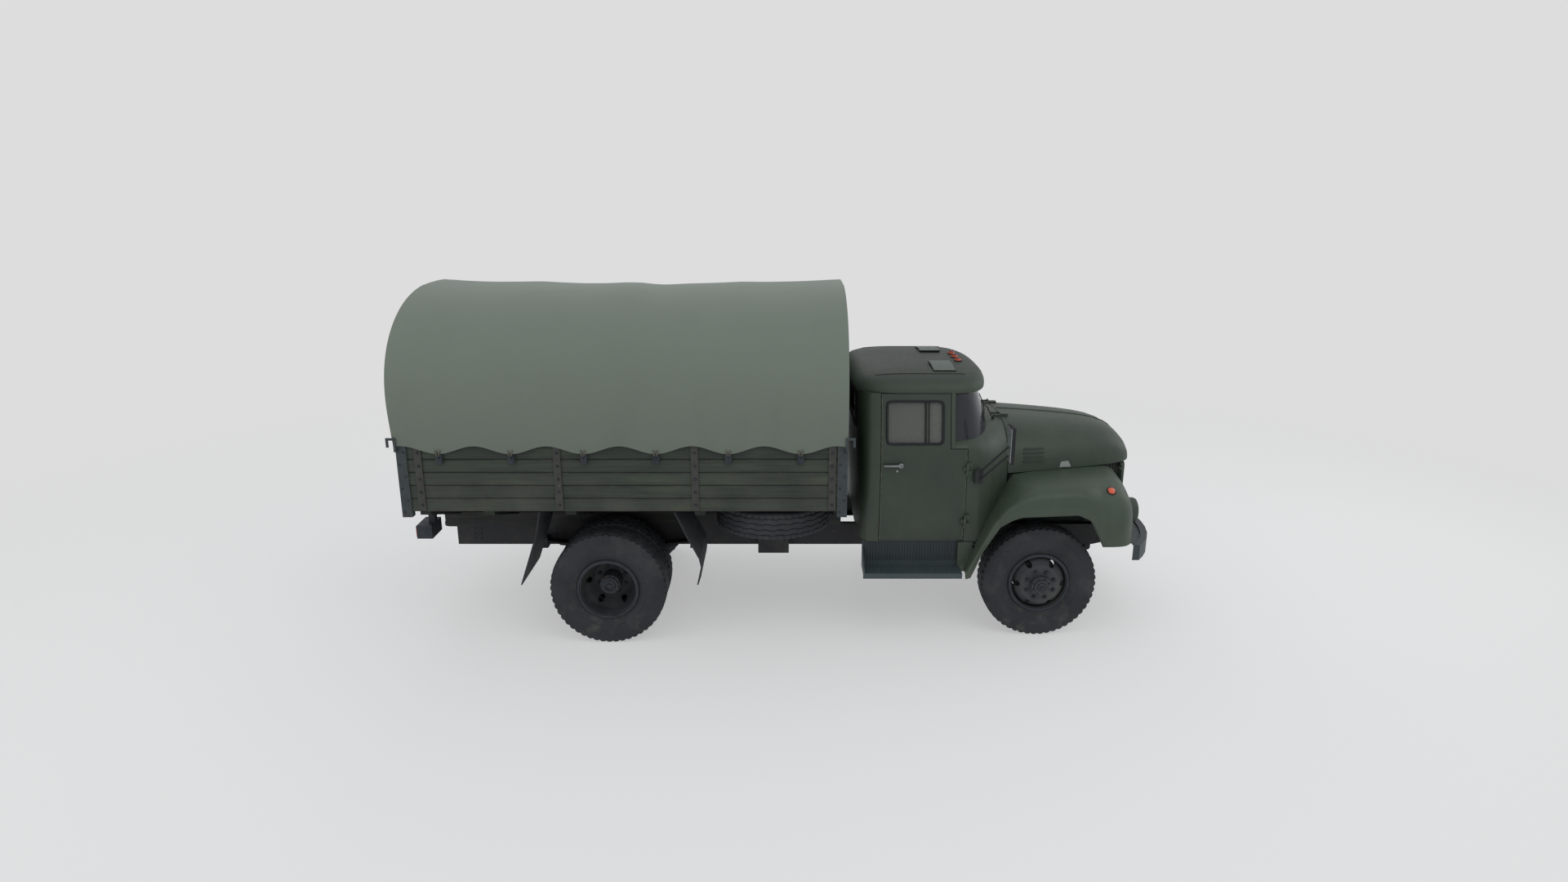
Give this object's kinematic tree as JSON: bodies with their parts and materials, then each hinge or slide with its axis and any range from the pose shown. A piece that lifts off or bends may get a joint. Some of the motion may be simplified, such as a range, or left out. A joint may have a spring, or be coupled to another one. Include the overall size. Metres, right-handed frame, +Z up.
{
  "type": "cargo truck",
  "caption": "Bonneted two-axle military cargo truck with a drop tailgate, boarded bed and a closed canvas tilt, twin rear wheels and an under-bed spare.",
  "frame": {"origin": "on the ground under the middle of the truck's overall length and width", "axes": "+X forward, +Y to the truck's left, +Z up"},
  "size_m": [6.675, 2.65, 3.062],
  "materials": {
    "cab_paint": "satin",
    "tyre": "matte",
    "chassis_paint": "matte",
    "engine_iron": "matte",
    "dark_plastic": "matte",
    "iron_paint": "satin",
    "wheel_paint": "satin",
    "glass": "gloss",
    "lamp": "gloss",
    "seat_cover": "matte",
    "boards": "matte",
    "bearers": "matte",
    "bows": "matte",
    "canvas": "matte",
    "flap_rubber": "matte",
    "floor_paint": "matte"
  },
  "bodies": {
    "chassis": {"frame": "chassis_paint", "bumper": "iron_paint", "tow_coupling": "chassis_paint", "front_axle": "chassis_paint", "rear_axle": "chassis_paint", "springs": "chassis_paint", "engine": "engine_iron", "driveshaft": "chassis_paint", "radiator": "dark_plastic", "fuel_tank": "chassis_paint", "spare_wheel": "wheel_paint", "spare_tyre": "tyre", "spare_carrier": "chassis_paint", "grille": "cab_paint", "fender_left": "cab_paint", "fender_right": "cab_paint", "cowl": "cab_paint", "cab_floor": "floor_paint", "cab_back_wall": "cab_paint", "cab_roof": "cab_paint", "screens": "glass", "steps": "iron_paint", "lamps": "lamp", "mirrors": "dark_plastic", "seat": "seat_cover", "dashboard": "dark_plastic", "steering_wheel": "dark_plastic", "bed_floor": "boards", "bed_bearers": "bearers", "bed_side_left": "boards", "bed_side_right": "boards", "headboard": "boards", "bed_irons": "iron_paint", "tilt_cover": "canvas", "tilt_ends": "canvas", "tilt_bows": "bows", "mud_flaps": "flap_rubber"},
    "knuckle_left": {"knuckle_left": "chassis_paint"},
    "knuckle_right": {"knuckle_right": "chassis_paint"},
    "wheel_front_left": {"wheel_front_left": "wheel_paint", "tyre_front_left": "tyre"},
    "wheel_front_right": {"wheel_front_right": "wheel_paint", "tyre_front_right": "tyre"},
    "wheels_rear_left": {"wheels_rear_left": "wheel_paint", "tyres_rear_left": "tyre"},
    "wheels_rear_right": {"wheels_rear_right": "wheel_paint", "tyres_rear_right": "tyre"},
    "door_left": {"door_left": "cab_paint", "door_glass_left": "glass"},
    "door_right": {"door_right": "cab_paint", "door_glass_right": "glass"},
    "hood": {"hood": "cab_paint"},
    "tailgate": {"tailgate": "boards"}
  },
  "joints": [
    {"name": "steer_left", "type": "hinge", "parent": "chassis", "child": "knuckle_left", "pos_m": [2.2625, 0.775, 0.509], "axis": [0, 0, 1], "range_deg": [-34, 34]},
    {"name": "steer_right", "type": "hinge", "parent": "chassis", "child": "knuckle_right", "pos_m": [2.2625, -0.775, 0.509], "axis": [0, 0, 1], "range_deg": [-34, 34]},
    {"name": "roll_front_left", "type": "hinge", "parent": "knuckle_left", "child": "wheel_front_left", "pos_m": [2.2625, 0.9, 0.509], "axis": [0, 1, 0], "continuous": true},
    {"name": "roll_front_right", "type": "hinge", "parent": "knuckle_right", "child": "wheel_front_right", "pos_m": [2.2625, -0.9, 0.509], "axis": [0, 1, 0], "continuous": true},
    {"name": "roll_rear_left", "type": "hinge", "parent": "chassis", "child": "wheels_rear_left", "pos_m": [-1.5375, 0.895, 0.509], "axis": [0, 1, 0], "continuous": true},
    {"name": "roll_rear_right", "type": "hinge", "parent": "chassis", "child": "wheels_rear_right", "pos_m": [-1.5375, -0.895, 0.509], "axis": [0, 1, 0], "continuous": true},
    {"name": "door_left_hinge", "type": "hinge", "parent": "chassis", "child": "door_left", "pos_m": [1.5755, 1.024, 1.3], "axis": [0, 0, -1], "range_deg": [0, 70]},
    {"name": "door_right_hinge", "type": "hinge", "parent": "chassis", "child": "door_right", "pos_m": [1.5755, -1.024, 1.3], "axis": [0, 0, 1], "range_deg": [0, 70]},
    {"name": "hood_hinge", "type": "hinge", "parent": "chassis", "child": "hood", "pos_m": [2.0005, 0, 1.876], "axis": [0, -1, 0], "range_deg": [0, 50]},
    {"name": "tailgate_hinge", "type": "hinge", "parent": "chassis", "child": "tailgate", "pos_m": [-3.23, 0, 1.231], "axis": [0, -1, 0], "range_deg": [0, 90]}
  ],
  "couplings": [
    {"joint": "steer_right", "follows": "steer_left", "ratio": 1}
  ]
}
